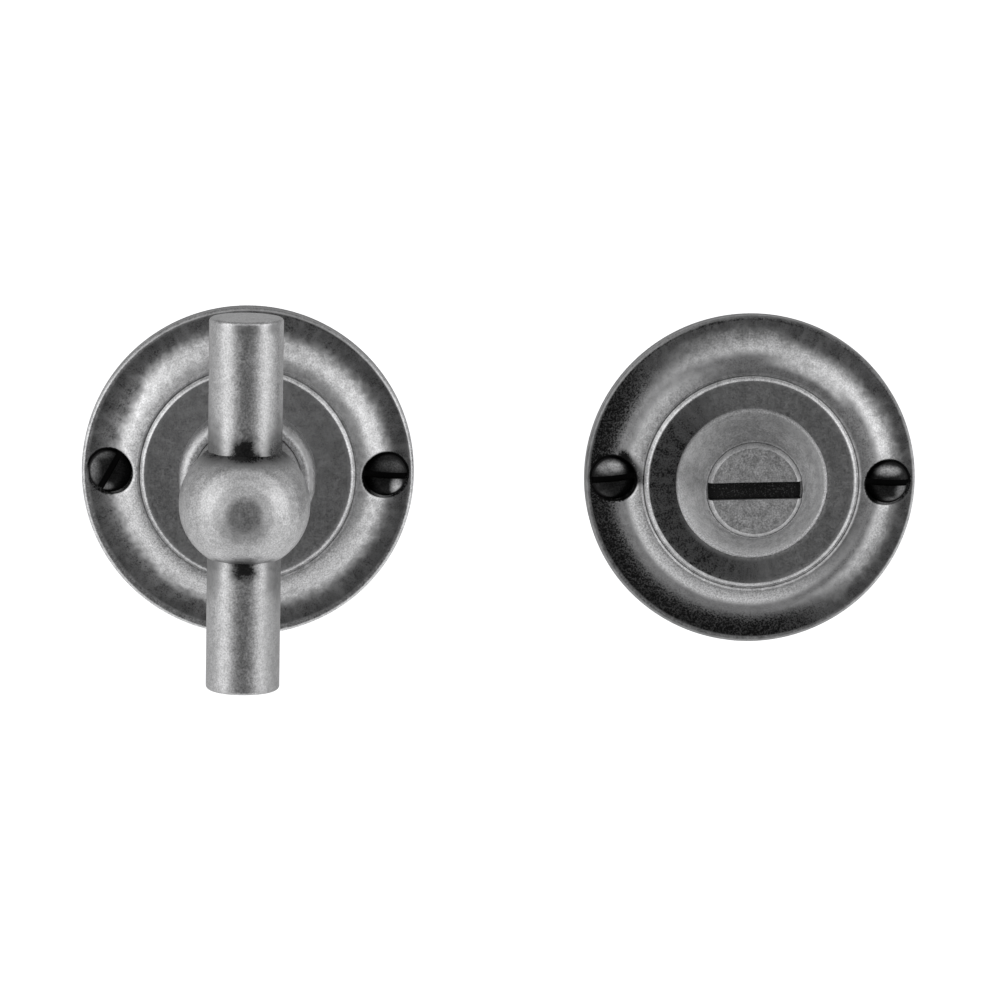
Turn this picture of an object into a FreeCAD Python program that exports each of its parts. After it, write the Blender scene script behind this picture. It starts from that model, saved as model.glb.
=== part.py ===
import FreeCAD, Part
import math
import os
import re
import Sketcher
from FreeCAD import Placement, Rotation, Vector

# Bathroom thumb turn lock: the inside turn and the outside release, shown side by side.
# Frame: +Z up, +X right, +Y into the door. The door's face is the plane Y = 0, and the
# origin is where the turn's spindle axis meets it. Millimetres.
# Each piece is drawn in its own frame: its Z is the height above the door's face, its Y is
# upwards and its X is to the right. stand() turns it to face out of the door.

DRIVING = {
    # the two roses, the same casting, from the hub outwards and from the door upwards
    "hub_radius": 8.0,
    "plateau_width": 7.3,
    "bead_slope": 0.25,
    "bead_crest": 0.4,
    "bead_side": 0.15,
    "groove_width": 0.2,
    "groove_slope": 0.3,
    "crown_width": 3.1,
    "cove_width": 4.2,
    "rim_width": 1.1,
    "rim_height": 2.7,
    "rim_bevel": 0.4,
    "cove_rise": 1.12,
    "crown_rise": 1.23,
    "groove_depth": 0.15,
    "plateau_rise": 0.15,
    "bead_rise": 0.12,
    "rose_plate": 2.0,
    "recess_round": 0.6,
    "release_spacing": 75.7,
    # the wood screws and their seats
    "screw_inset": 4.3,
    "pocket_radius": 3.5,
    "pocket_sink": 0.15,
    "head_radius": 3.25,
    "head_rise": 1.0,
    "driver_slot_width": 0.95,
    "driver_slot_depth": 1.25,
    "screw_neck_radius": 1.9,
    "shank_radius": 1.75,
    "shank_gap": 0.2,
    "thread_core_radius": 1.25,
    "plain_shank": 7.0,
    "screw_reach": 22.0,
    "screw_point": 4.0,
    "turn_left_slot": 61.0,
    "turn_right_slot": -3.0,
    "release_left_slot": 7.0,
    "release_right_slot": -1.0,
    # clearances
    "fixed_gap": 0.02,
    "running_gap": 0.05,
    "lip_gap": 0.2,
    "overcut": 1.0,
    # the collar under the ball and the conical boss of the release
    "collar_radius": 10.25,
    "collar_height": 5.0,
    "collar_round": 1.7,
    "collar_lip": 1.2,
    "boss_radius": 11.4,
    "boss_foot": 0.65,
    "boss_edge_width": 0.45,
    "boss_edge_rise": 0.5,
    "boss_height": 6.3,
    "boss_land": 0.3,
    # flanged bush, washers and retaining ring behind each rose
    "bush_wall": 1.6,
    "bush_flange": 1.0,
    "bush_flange_radius": 9.6,
    "wave_radius": 8.6,
    "wave_sheet": 0.3,
    "wave_lift": 0.4,
    "thrust_sheet": 0.5,
    "thrust_radius": 8.4,
    "ring_sheet": 0.7,
    "ring_width": 2.1,
    "ring_groove_depth": 0.65,
    "ring_mouth": 2.2,
    "ring_ear_radius": 1.25,
    "ring_ear_angle": 24.0,
    "ring_ear_hole": 0.5,
    # turned stems, the ball and the bar through it
    "stem_radius": 5.0,
    "stem_tail": 7.0,
    "stem_bevel": 0.5,
    "ball_radius": 9.6,
    "ball_standoff": 18.9,
    "neck_radius": 5.6,
    "neck_foot_width": 3.2,
    "neck_foot": 0.9,
    "neck_flare": 3.2,
    "neck_flare_radius": 8.0,
    "bar_radius": 5.4,
    "bar_length": 54.8,
    "bar_round": 0.5,
    # square spindle and the pin that holds it
    "spindle_side": 5.0,
    "spindle_bevel": 0.4,
    "spindle_reach": 58.0,
    "socket_gap": 0.06,
    "socket_depth": 12.5,
    "pin_radius": 1.0,
    "pin_height": 3.6,
    "pin_inset": 0.2,
    # coin button
    "button_radius": 7.15,
    "button_head": 2.6,
    "button_rise": 0.95,
    "button_bevel_width": 0.9,
    "button_bevel_rise": 0.55,
    "button_dish": 0.25,
    "coin_slot_width": 2.6,
    "coin_slot_depth": 2.2,
    "coin_slot_angle": 2.0,
}

DERIVED = {
    "plateau_radius": "hub_radius + plateau_width",
    "bead_inner_radius": "plateau_radius + bead_slope",
    "bead_outer_radius": "bead_inner_radius + bead_crest + bead_side",
    "groove_radius": "bead_outer_radius + groove_width",
    "crown_radius": "groove_radius + groove_slope",
    "ogee_radius": "crown_radius + crown_width",
    "cove_radius": "ogee_radius + cove_width",
    "rose_radius": "cove_radius + rim_width",
    "ogee_height": "rim_height + cove_rise",
    "crown_height": "ogee_height + crown_rise",
    "groove_floor": "crown_height - groove_depth",
    "plateau_height": "crown_height + plateau_rise",
    "bead_height": "plateau_height + bead_rise",
    "recess_floor": "plateau_height - rose_plate",
    "screw_offset": "rose_radius - screw_inset",
    "shank_hole_radius": "screw_neck_radius + shank_gap",
    "pocket_floor": "rim_height - pocket_sink",
    "flange_back": "recess_floor - bush_flange",
    "wave_front": "flange_back - fixed_gap",
    "wave_back": "wave_front - wave_sheet - wave_lift",
    "thrust_front": "wave_back - fixed_gap",
    "thrust_back": "thrust_front - thrust_sheet",
    "ring_front": "thrust_back - running_gap",
    "ring_back": "ring_front - ring_sheet",
    "ring_seat_radius": "stem_radius - ring_groove_depth",
    "ring_bore_radius": "ring_seat_radius + fixed_gap",
    "ring_radius": "ring_bore_radius + ring_width",
    "ear_radius": "ring_radius - ring_ear_radius / 2",
    "bush_bore_radius": "stem_radius + running_gap",
    "bush_radius": "bush_bore_radius + bush_wall",
    "bush_seat_radius": "bush_radius + fixed_gap",
    "washer_bore_radius": "bush_bore_radius + running_gap",
    "spigot_radius": "hub_radius - fixed_gap",
    "collar_top": "plateau_height + collar_height",
    "lip_back": "collar_top - collar_lip",
    "lip_bore_radius": "stem_radius + lip_gap",
    "boss_foot_top": "plateau_height + boss_foot",
    "boss_face": "boss_foot_top + boss_edge_rise",
    "boss_top": "plateau_height + boss_height",
    "button_top": "boss_top + button_rise",
    "button_seat": "button_top - button_head",
    "button_floor": "button_seat - running_gap",
    "button_bore_radius": "button_radius + running_gap",
    "button_face_radius": "button_radius - button_bevel_width",
    "socket_side": "spindle_side + 2 * socket_gap",
    "knob_foot": "collar_top + running_gap",
    "neck_back": "knob_foot + neck_foot",
    "ball_height": "collar_top + ball_standoff",
    "ball_back": "ball_height - sqrt(ball_radius * ball_radius - neck_radius * neck_radius)",
}

WAVES = 3
WAVE_POINTS = 24
RIGHT_ANGLE = 90
FULL_TURN = 360

doc = FreeCAD.newDocument("BathroomTurnLock")
sheet = doc.addObject("Spreadsheet::Sheet", "Sizes")


def fill_sheet():
    """Write each driving size as a plain number and each derived one as a formula."""
    rows = [(name, str(number)) for name, number in DRIVING.items()]
    rows += [(name, "=" + formula) for name, formula in DERIVED.items()]
    for row, (name, content) in enumerate(rows, start=1):
        sheet.set(f"A{row}", name)
        sheet.set(f"B{row}", content)
        sheet.setAlias(f"B{row}", name)
    doc.recompute()


def bound(expression):
    """The expression with each size's name pointed at the sheet."""
    def point(match):
        word = match.group()
        return "Sizes." + word if word in DRIVING or word in DERIVED else word
    return re.sub(r"[a-z_]+", point, expression)


def value(expression):
    """The number that an expression of sizes gives now."""
    return float(sheet.evalExpression(bound(expression)))


def new_body(name):
    """A named body for one piece."""
    body = doc.addObject("PartDesign::Body", name)
    body.Label = name
    return body


def origin_feature(body, role):
    """One of the body's own origin planes or axes."""
    return next(item for item in body.Origin.OriginFeatures if item.Role == role)


def stand(piece, across="0"):
    """Turn a piece from its own frame to face out of the door, across from the turn's axis."""
    piece.Placement = Placement(Vector(value(across), 0, 0), Rotation(Vector(1, 0, 0), RIGHT_ANGLE))
    piece.setExpression("Placement.Base.x", bound(across))


def new_sketch(body, name, role, lift="0"):
    """A sketch on one of the body's origin planes, lifted along its normal."""
    sketch = body.newObject("Sketcher::SketchObject", name)
    sketch.AttachmentSupport = [(origin_feature(body, role), "")]
    sketch.MapMode = "FlatFace"
    sketch.setExpression("AttachmentOffset.Base.z", bound(lift))
    doc.recompute()
    return sketch


def hold(sketch, kind, geometry, point, expression, name):
    """Bind one coordinate of a point to an expression, or put it on the axis where that is 0."""
    if expression == "0":
        axis = -2 if kind == "DistanceX" else -1
        sketch.addConstraint(Sketcher.Constraint("PointOnObject", geometry, point, axis))
        return
    row = Sketcher.Constraint(kind, -1, 1, geometry, point, value(expression))
    index = sketch.addConstraint(row)
    sketch.renameConstraint(index, name)
    sketch.setExpression("Constraints." + name, bound(expression))


def bend_middle(start, end, radius):
    """Middle of the shorter arc from start to end; a positive radius bulges to the right."""
    chord = end - start
    half = chord.Length / 2
    sagitta = abs(radius) - math.sqrt(radius ** 2 - half ** 2)
    right = Vector(chord.y, -chord.x, 0).normalize()
    return (start + end) / 2 + right * math.copysign(sagitta, radius)


def tangent_radius(start, end, heading):
    """Signed radius of the arc that leaves start along heading and reaches end."""
    chord = end - start
    right = Vector(heading.y, -heading.x, 0)
    return -chord.Length ** 2 / (2 * chord.dot(right))


def draw(sketch, steps):
    """Closed outline. Each step is (kind, x, y): a line or a tangent arc that ends at x, y.

    A step (bend, x, y, radius) is an arc of that radius, bulging right where it is positive.
    The first step's line closes the outline.
    """
    points = [Vector(value(step[1]), value(step[2]), 0) for step in steps]
    ends = []
    heading = None
    for index, step in enumerate(steps):
        start, end = points[index - 1], points[index]
        if step[0] == "line":
            edge = Part.LineSegment(start, end)
            radius = None
            heading = (end - start).normalize()
        else:
            radius = value(step[3]) if step[0] == "bend" else tangent_radius(start, end, heading)
            edge = Part.Arc(start, bend_middle(start, end, radius), end)
            chord = (end - start).normalize()
            heading = (chord * (2 * chord.dot(heading)) - heading) if step[0] == "arc" else chord
        number = sketch.addGeometry(edge)
        clockwise = radius is not None and radius < 0
        ends.append((number, 2, 1) if clockwise else (number, 1, 2))
    for index, step in enumerate(steps):
        geometry, first, last = ends[index]
        before, _, joint = ends[index - 1]
        kind = "Tangent" if step[0] == "arc" else "Coincident"
        sketch.addConstraint(Sketcher.Constraint(kind, before, joint, geometry, first))
        if step[0] == "bend":
            row = sketch.addConstraint(Sketcher.Constraint("Radius", geometry, abs(value(step[3]))))
            sketch.renameConstraint(row, f"radius_{index}")
            sketch.setExpression(f"Constraints.radius_{index}", f"abs({bound(step[3])})")
        hold(sketch, "DistanceX", geometry, last, step[1], f"across_{index}")
        hold(sketch, "DistanceY", geometry, last, step[2], f"up_{index}")
    doc.recompute()


def draw_circle(sketch, radius, across="0", up="0", name="circle"):
    """A circle whose centre and radius are bound to the sheet."""
    centre = Vector(value(across), value(up), 0)
    circle = sketch.addGeometry(Part.Circle(centre, Vector(0, 0, 1), value(radius)))
    row = sketch.addConstraint(Sketcher.Constraint("Radius", circle, value(radius)))
    sketch.renameConstraint(row, name + "_radius")
    sketch.setExpression(f"Constraints.{name}_radius", bound(radius))
    hold(sketch, "DistanceX", circle, 3, across, name + "_across")
    hold(sketch, "DistanceY", circle, 3, up, name + "_up")
    doc.recompute()


def draw_box(sketch, width, height):
    """A rectangle about the sketch's origin."""
    right, top = f"({width}) / 2", f"({height}) / 2"
    left, bottom = f"-({width}) / 2", f"-({height}) / 2"
    draw(sketch, [("line", left, bottom), ("line", right, bottom),
                  ("line", right, top), ("line", left, top)])


def lathe(body, name, steps):
    """Turn an outline of (radius, height) steps about the piece's axis."""
    sketch = new_sketch(body, name + "Outline", "XZ_Plane")
    draw(sketch, steps)
    feature = body.newObject("PartDesign::Revolution", name)
    feature.Profile = sketch
    feature.ReferenceAxis = (sketch, ["V_Axis"])
    feature.Angle = FULL_TURN
    doc.recompute()
    return feature


def pad(body, name, sketch, length, symmetric=False):
    """Raise a sketch by a bound length."""
    feature = body.newObject("PartDesign::Pad", name)
    feature.Profile = sketch
    feature.setExpression("Length", bound(length))
    feature.SideType = "Symmetric" if symmetric else "One side"
    doc.recompute()
    return feature


def pocket(body, name, sketch, length, symmetric=False, reverse=False):
    """Cut a sketch to a bound depth and make sure that it takes metal away."""
    before = body.Shape.Volume
    feature = body.newObject("PartDesign::Pocket", name)
    feature.Profile = sketch
    feature.setExpression("Length", bound(length))
    feature.SideType = "Symmetric" if symmetric else "One side"
    feature.Reversed = reverse
    doc.recompute()
    if body.Shape.Volume >= before:
        raise RuntimeError(name + " cuts nothing")
    return feature


def circular_edges(shape, radius, tolerance=0.001):
    """Names of the shape's circular edges that have this radius."""
    names = []
    for index, edge in enumerate(shape.Edges, start=1):
        if isinstance(edge.Curve, Part.Circle) and abs(edge.Curve.Radius - radius) < tolerance:
            names.append(f"Edge{index}")
    return names


def round_edges(body, name, base, radius, size):
    """Fillet every circular edge of one radius."""
    feature = body.newObject("PartDesign::Fillet", name)
    feature.Base = (base, circular_edges(base.Shape, value(radius)))
    feature.setExpression("Radius", bound(size))
    doc.recompute()
    return feature


def make_rose(name, across):
    """Dished rose: rim, cove, ogee, worn bead and plateau, hollow behind, with two screw seats."""
    body = new_body(name)
    lathe(body, "Rose", [
        ("line", "plateau_radius", "0"),
        ("line", "rose_radius", "0"),
        ("line", "rose_radius", "rim_height - rim_bevel"),
        ("line", "rose_radius - rim_bevel", "rim_height"),
        ("line", "cove_radius", "rim_height"),
        ("arc", "ogee_radius", "ogee_height"),
        ("arc", "crown_radius", "crown_height"),
        ("line", "groove_radius", "groove_floor"),
        ("line", "bead_outer_radius", "groove_floor"),
        ("line", "bead_outer_radius - bead_side", "crown_height"),
        ("arc", "bead_inner_radius", "bead_height"),
        ("line", "plateau_radius", "plateau_height"),
        ("line", "hub_radius", "plateau_height"),
        ("line", "hub_radius", "recess_floor"),
        ("line", "plateau_radius - recess_round", "recess_floor"),
        ("arc", "plateau_radius", "recess_floor - recess_round"),
    ])
    seat = new_sketch(body, "ScrewSeatOutline", "XZ_Plane")
    sink_floor = "pocket_floor - (head_radius - shank_hole_radius)"
    draw(seat, [
        ("line", "screw_offset", "-overcut"),
        ("line", "screw_offset + shank_hole_radius", "-overcut"),
        ("line", "screw_offset + shank_hole_radius", sink_floor),
        ("line", "screw_offset + head_radius", "pocket_floor"),
        ("line", "screw_offset + pocket_radius", "pocket_floor"),
        ("line", "screw_offset + pocket_radius", "bead_height + overcut"),
        ("line", "screw_offset", "bead_height + overcut"),
    ])
    axis = seat.addGeometry(Part.LineSegment(Vector(value("screw_offset"), 0, 0),
                                             Vector(value("screw_offset"), 1, 0)), True)
    seat.addConstraint(Sketcher.Constraint("Vertical", axis))
    hold(seat, "DistanceX", axis, 1, "screw_offset", "axis_across")
    seat_cut = body.newObject("PartDesign::Groove", "ScrewSeat")
    seat_cut.Profile = seat
    seat_cut.ReferenceAxis = (seat, ["Axis0"])
    seat_cut.Angle = FULL_TURN
    doc.recompute()
    pair = body.newObject("PartDesign::PolarPattern", "ScrewSeats")
    pair.Originals = [seat_cut]
    pair.Axis = (origin_feature(body, "Z_Axis"), [""])
    pair.Angle = FULL_TURN
    pair.Occurrences = 2
    body.Tip = pair
    stand(body, across)


def make_screw(name, across, slot_angle):
    """Countersunk wood screw with a domed slotted head; the thread's core is left plain."""
    body = new_body(name)
    sink_floor = "pocket_floor - (head_radius - screw_neck_radius)"
    lathe(body, "Screw", [
        ("line", "0", "-screw_reach"),
        ("line", "thread_core_radius", "screw_point - screw_reach"),
        ("line", "thread_core_radius", "thread_core_radius - shank_radius - plain_shank"),
        ("line", "shank_radius", "-plain_shank"),
        ("line", "shank_radius", "0"),
        ("line", "screw_neck_radius", "screw_neck_radius - shank_radius"),
        ("line", "screw_neck_radius", sink_floor),
        ("line", "head_radius - fixed_gap", "pocket_floor - fixed_gap"),
        ("line", "head_radius - fixed_gap", "pocket_floor + fixed_gap"),
        ("bend", "0", "pocket_floor + head_rise",
         "(head_radius * head_radius + head_rise * head_rise) / (2 * head_rise)"),
    ])
    slot = new_sketch(body, "DriverSlotOutline", "XY_Plane", "pocket_floor + head_rise + overcut")
    slot.setExpression("AttachmentOffset.Rotation.Angle", bound(slot_angle))
    draw_box(slot, "2 * (head_radius + overcut)", "driver_slot_width")
    pocket(body, "DriverSlot", slot, "driver_slot_depth + overcut")
    stand(body, across)


def collar_steps(outside):
    """Outline of a collar: spigot in the rose's bore, bush seat behind and outside in front."""
    return [
        ("line", "bush_seat_radius", "recess_floor"),
        ("line", "spigot_radius", "recess_floor"),
        ("line", "spigot_radius", "plateau_height"),
    ] + outside


def make_turn_collar():
    """Round collar under the ball, with a rounded shoulder and a lip in front of its bush."""
    body = new_body("turn_collar")
    lathe(body, "Collar", collar_steps([
        ("line", "collar_radius", "plateau_height"),
        ("line", "collar_radius", "collar_top - collar_round"),
        ("arc", "collar_radius - collar_round", "collar_top"),
        ("line", "lip_bore_radius", "collar_top"),
        ("line", "lip_bore_radius", "lip_back"),
        ("line", "bush_seat_radius", "lip_back"),
    ]))
    stand(body)


def make_release_boss():
    """Conical boss of the release, with a worn edge at its foot and a bore for the button."""
    body = new_body("release_boss")
    lathe(body, "Boss", collar_steps([
        ("line", "boss_radius", "plateau_height"),
        ("line", "boss_radius", "boss_foot_top"),
        ("arc", "boss_radius - boss_edge_width", "boss_face"),
        ("line", "button_bore_radius + boss_land", "boss_top"),
        ("line", "button_bore_radius", "boss_top"),
        ("line", "button_bore_radius", "button_floor"),
        ("line", "bush_seat_radius", "button_floor"),
    ]))
    stand(body, "release_spacing")


def make_bush(name, across, front):
    """Flanged bush: the flange bears on the back of the rose, the sleeve carries the stem."""
    body = new_body(name)
    lathe(body, "Bush", [
        ("line", "bush_bore_radius", "flange_back"),
        ("line", "bush_flange_radius", "flange_back"),
        ("line", "bush_flange_radius", "recess_floor"),
        ("line", "bush_radius", "recess_floor"),
        ("line", "bush_radius", front),
        ("line", "bush_bore_radius", front),
    ])
    stand(body, across)


def wave_edge(radius):
    """Closed wavy edge of the spring washer at one radius."""
    middle = value("(wave_front - wave_sheet + wave_back) / 2")
    swing = value("wave_lift / 2")
    points = []
    for step in range(WAVE_POINTS):
        angle = 2 * math.pi * step / WAVE_POINTS
        height = middle + swing * math.cos(WAVES * angle)
        points.append(Vector(radius * math.cos(angle), radius * math.sin(angle), height))
    curve = Part.BSplineCurve()
    curve.interpolate(Points=points, PeriodicFlag=True)
    return curve.toShape()


def make_wave_washer(name, across):
    """Wave spring washer that takes up the play between the bush and the thrust washer."""
    inner = wave_edge(value("washer_bore_radius"))
    outer = wave_edge(value("wave_radius"))
    washer = doc.addObject("Part::Feature", name)
    washer.Label = name
    skin = Part.makeRuledSurface(inner, outer)
    washer.Shape = skin.extrude(Vector(0, 0, value("wave_sheet")))
    stand(washer, across)


def make_thrust_washer(name, across):
    """Flat washer between the spring washer and the retaining ring."""
    body = new_body(name)
    sketch = new_sketch(body, "WasherOutline", "XY_Plane", "thrust_back")
    draw_circle(sketch, "thrust_radius", name="outside")
    draw_circle(sketch, "washer_bore_radius", name="bore")
    pad(body, "Washer", sketch, "thrust_sheet")
    stand(body, across)


def make_retaining_ring(name, across):
    """Open retaining ring with two pierced ears, sprung into the stem's groove."""
    body = new_body(name)
    flat = new_sketch(body, "RingOutline", "XY_Plane", "ring_back")
    draw_circle(flat, "ring_radius", name="outside")
    draw_circle(flat, "ring_bore_radius", name="seat")
    pad(body, "Ring", flat, "ring_sheet")
    ear_across = "ear_radius * sin(ring_ear_angle * 1 deg)"
    ear_up = "-ear_radius * cos(ring_ear_angle * 1 deg)"
    for side, sign in (("Left", "-"), ("Right", "")):
        ear = new_sketch(body, side + "EarOutline", "XY_Plane", "ring_back")
        draw_circle(ear, "ring_ear_radius", sign + ear_across, ear_up)
        pad(body, side + "Ear", ear, "ring_sheet")
    mouth = new_sketch(body, "MouthOutline", "XY_Plane", "ring_front")
    draw(mouth, [("line", "-ring_mouth / 2", "-2 * ring_radius"),
                 ("line", "ring_mouth / 2", "-2 * ring_radius"),
                 ("line", "ring_mouth / 2", "-ring_seat_radius / 2"),
                 ("line", "-ring_mouth / 2", "-ring_seat_radius / 2")])
    pocket(body, "Mouth", mouth, "ring_sheet")
    for side, sign in (("Left", "-"), ("Right", "")):
        hole = new_sketch(body, side + "HoleOutline", "XY_Plane", "ring_front")
        draw_circle(hole, "ring_ear_hole", sign + ear_across, ear_up)
        pocket(body, side + "Hole", hole, "ring_sheet")
    stand(body, across)


def stem_steps():
    """Outline of a stem from its tail up, with the retaining ring's groove."""
    return [
        ("line", "0", "-stem_tail"),
        ("line", "stem_radius - stem_bevel", "-stem_tail"),
        ("line", "stem_radius", "stem_bevel - stem_tail"),
        ("line", "stem_radius", "ring_back - fixed_gap"),
        ("line", "ring_seat_radius", "ring_back - fixed_gap"),
        ("line", "ring_seat_radius", "ring_front + fixed_gap"),
        ("line", "stem_radius", "ring_front + fixed_gap"),
    ]


def cut_socket(body):
    """Square socket for the spindle, open at the stem's tail."""
    square = new_sketch(body, "SocketOutline", "XY_Plane", "-stem_tail")
    draw_box(square, "socket_side", "socket_side")
    return pocket(body, "Socket", square, "socket_depth", reverse=True)


def cut_pin_hole(body):
    """Cross hole for the pin that holds the spindle in the turn's stem."""
    circle = new_sketch(body, "PinHoleOutline", "YZ_Plane")
    draw_circle(circle, "pin_radius + fixed_gap", up="-pin_height")
    return pocket(body, "PinHole", circle, "2 * (stem_radius + overcut)", symmetric=True)


def make_turn_knob():
    """Ball on a flared neck, one turned piece with the stem that passes through the rose."""
    body = new_body("turn_knob")
    lathe(body, "Knob", stem_steps() + [
        ("line", "stem_radius", "knob_foot"),
        ("line", "stem_radius + neck_foot_width", "knob_foot"),
        ("line", "stem_radius + neck_foot_width", "neck_back"),
        ("bend", "neck_radius", "neck_back + neck_flare", "-neck_flare_radius"),
        ("line", "neck_radius", "ball_back"),
        ("bend", "0", "ball_height + ball_radius", "ball_radius"),
    ])
    cross = new_sketch(body, "BarHoleOutline", "XZ_Plane")
    draw_circle(cross, "bar_radius + fixed_gap", up="ball_height")
    pocket(body, "BarHole", cross, "2 * (ball_radius + overcut)", symmetric=True)
    cut_socket(body)
    cut_pin_hole(body)
    stand(body)


def make_cross_bar():
    """Round bar through the ball, the turn's handle."""
    body = new_body("cross_bar")
    sketch = new_sketch(body, "BarOutline", "XZ_Plane")
    draw_circle(sketch, "bar_radius", up="ball_height")
    bar = pad(body, "Bar", sketch, "bar_length", symmetric=True)
    round_edges(body, "BarEnds", bar, "bar_radius", "bar_round")
    stand(body)


def make_spindle():
    """Square spindle that stands in the turn's stem and passes through the door."""
    body = new_body("spindle")
    inner_end = "socket_depth - stem_tail - socket_gap"
    square = new_sketch(body, "SpindleOutline", "XY_Plane", "-spindle_reach")
    draw_box(square, "spindle_side", "spindle_side")
    bar = pad(body, "Spindle", square, "spindle_reach + " + inner_end)
    ends = []
    for index, edge in enumerate(bar.Shape.Edges, start=1):
        if abs(edge.Length - value("spindle_side")) < 0.001:
            ends.append(f"Edge{index}")
    bevel = body.newObject("PartDesign::Chamfer", "SpindleEnds")
    bevel.Base = (bar, ends)
    bevel.setExpression("Size", bound("spindle_bevel"))
    doc.recompute()
    cut_pin_hole(body)
    stand(body)


def make_spindle_pin():
    """Plain pin across the stem and the spindle."""
    body = new_body("spindle_pin")
    circle = new_sketch(body, "PinOutline", "YZ_Plane")
    draw_circle(circle, "pin_radius", up="-pin_height")
    pad(body, "Pin", circle, "2 * (stem_radius - pin_inset)", symmetric=True)
    stand(body)


def make_release_button():
    """Coin button: bevelled dished head with a slot right across it, and the driven stem."""
    body = new_body("release_button")
    lathe(body, "Button", stem_steps() + [
        ("line", "stem_radius", "button_seat"),
        ("line", "button_radius", "button_seat"),
        ("line", "button_radius", "button_top - button_bevel_rise"),
        ("line", "button_face_radius", "button_top"),
        ("bend", "0", "button_top - button_dish",
         "-(button_face_radius * button_face_radius + button_dish * button_dish) / (2 * button_dish)"),
    ])
    slot = new_sketch(body, "CoinSlotOutline", "XY_Plane", "button_top")
    slot.setExpression("AttachmentOffset.Rotation.Angle", bound("coin_slot_angle"))
    draw_box(slot, "2 * (button_radius + overcut)", "coin_slot_width")
    pocket(body, "CoinSlot", slot, "coin_slot_depth")
    cut_socket(body)
    stand(body, "release_spacing")


def make_behind(side, across, bush_front):
    """The bush, washers and retaining ring that one rose carries."""
    make_bush(side + "_bush", across, bush_front)
    make_wave_washer(side + "_wave_washer", across)
    make_thrust_washer(side + "_thrust_washer", across)
    make_retaining_ring(side + "_retaining_ring", across)


def make_screws(side, across):
    """The two screws of one rose, each with its slot as it was left."""
    make_screw(side + "_screw_left", across + " - screw_offset", side + "_left_slot")
    make_screw(side + "_screw_right", across + " + screw_offset", side + "_right_slot")


def export_pieces():
    """Check every object and every piece, then write each piece to its own file."""
    doc.recompute()
    for item in doc.Objects:
        if "Invalid" in item.State or "Error" in item.State:
            raise RuntimeError(f"{item.Label} failed: {item.State}")
    pieces = [item for item in doc.Objects
              if item.isDerivedFrom("PartDesign::Body") or item.TypeId == "Part::Feature"]
    os.makedirs("parts", exist_ok=True)
    for piece in pieces:
        shape = piece.Shape
        if shape.isNull() or not shape.isValid() or len(shape.Solids) != 1:
            raise RuntimeError(piece.Label + " is not one valid solid")
        print(f"{piece.Label}: {shape.Volume:.1f} mm3")
        shape.exportStep(f"parts/{piece.Label}.step")


fill_sheet()
make_rose("turn_rose", "0")
make_rose("release_rose", "release_spacing")
make_turn_collar()
make_release_boss()
make_behind("turn", "0", "lip_back - fixed_gap")
make_behind("release", "release_spacing", "button_floor - fixed_gap")
make_turn_knob()
make_cross_bar()
make_spindle()
make_spindle_pin()
make_release_button()
make_screws("turn", "0")
make_screws("release", "release_spacing")
export_pieces()
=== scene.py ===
# %% [markdown]
# # A bathroom thumb turn lock
# Two dished roses carry the lock: the inside turn, a bar through a ball, and the outside release,
# a disc with a coin slot in a conical boss. The CAD model gives every size and moves every body.
# This script dresses it: soft worn edges, screw threads, patina, and light as in the photograph.
# Sizes are in millimetres, as on the real lock, and `MM` turns them into Blender's metres. The
# door's face is the plane Y = 0, and heights off the door run towards -Y, to the viewer.

import cmath
import math

import bmesh
import bpy
from mathutils import Matrix, Quaternion, Vector, noise


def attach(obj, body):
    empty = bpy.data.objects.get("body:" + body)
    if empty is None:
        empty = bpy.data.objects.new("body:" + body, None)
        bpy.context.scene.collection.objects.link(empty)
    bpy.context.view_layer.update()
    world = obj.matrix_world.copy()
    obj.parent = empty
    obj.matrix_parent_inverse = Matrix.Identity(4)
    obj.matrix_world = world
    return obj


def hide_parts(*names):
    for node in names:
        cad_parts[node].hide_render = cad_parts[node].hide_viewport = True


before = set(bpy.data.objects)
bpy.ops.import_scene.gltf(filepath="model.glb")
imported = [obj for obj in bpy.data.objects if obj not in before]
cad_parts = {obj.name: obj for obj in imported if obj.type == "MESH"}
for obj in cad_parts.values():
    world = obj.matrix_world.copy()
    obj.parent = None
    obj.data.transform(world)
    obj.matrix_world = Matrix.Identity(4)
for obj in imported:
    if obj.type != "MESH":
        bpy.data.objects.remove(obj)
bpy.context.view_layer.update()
scene = bpy.context.scene
MM = 0.001

# %% [markdown]
# The photograph was taken with a long lens from a little above, so the circles are nearly round
# and the two halves look the same size. The place of the camera comes from the centres of the
# circles: those that stand higher off the door move further down the picture. The lens is given
# in pixels, because that is how it was measured, and then turned into millimetres.

# %% Camera
CAMERA_PLACE = Vector((12.477, -768.656, 135.863)) * MM
CAMERA_YAW = math.radians(1.9095)
CAMERA_PITCH = math.radians(10.3181)
CAMERA_ROLL = math.radians(1.1716)
FOCAL_PIXELS = 5166.97
PHOTO_PIXELS = 1000

camera_data = bpy.data.cameras.new("photo_camera")
camera_data.sensor_width = 36.0
camera_data.lens = FOCAL_PIXELS / PHOTO_PIXELS * camera_data.sensor_width
camera_data.clip_start = 0.01
camera_data.clip_end = 50.0
camera = bpy.data.objects.new("photo_camera", camera_data)
scene.collection.objects.link(camera)
forward = Vector((math.sin(CAMERA_YAW) * math.cos(CAMERA_PITCH),
                  math.cos(CAMERA_YAW) * math.cos(CAMERA_PITCH),
                  -math.sin(CAMERA_PITCH)))
camera.location = CAMERA_PLACE
camera.rotation_mode = "QUATERNION"
camera.rotation_quaternion = (forward.to_track_quat("-Z", "Y")
                              @ Quaternion((0, 0, 1), CAMERA_ROLL))
scene.camera = camera
print("lens", round(camera_data.lens, 1), "mm, looking along", [round(v, 3) for v in forward])

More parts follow.
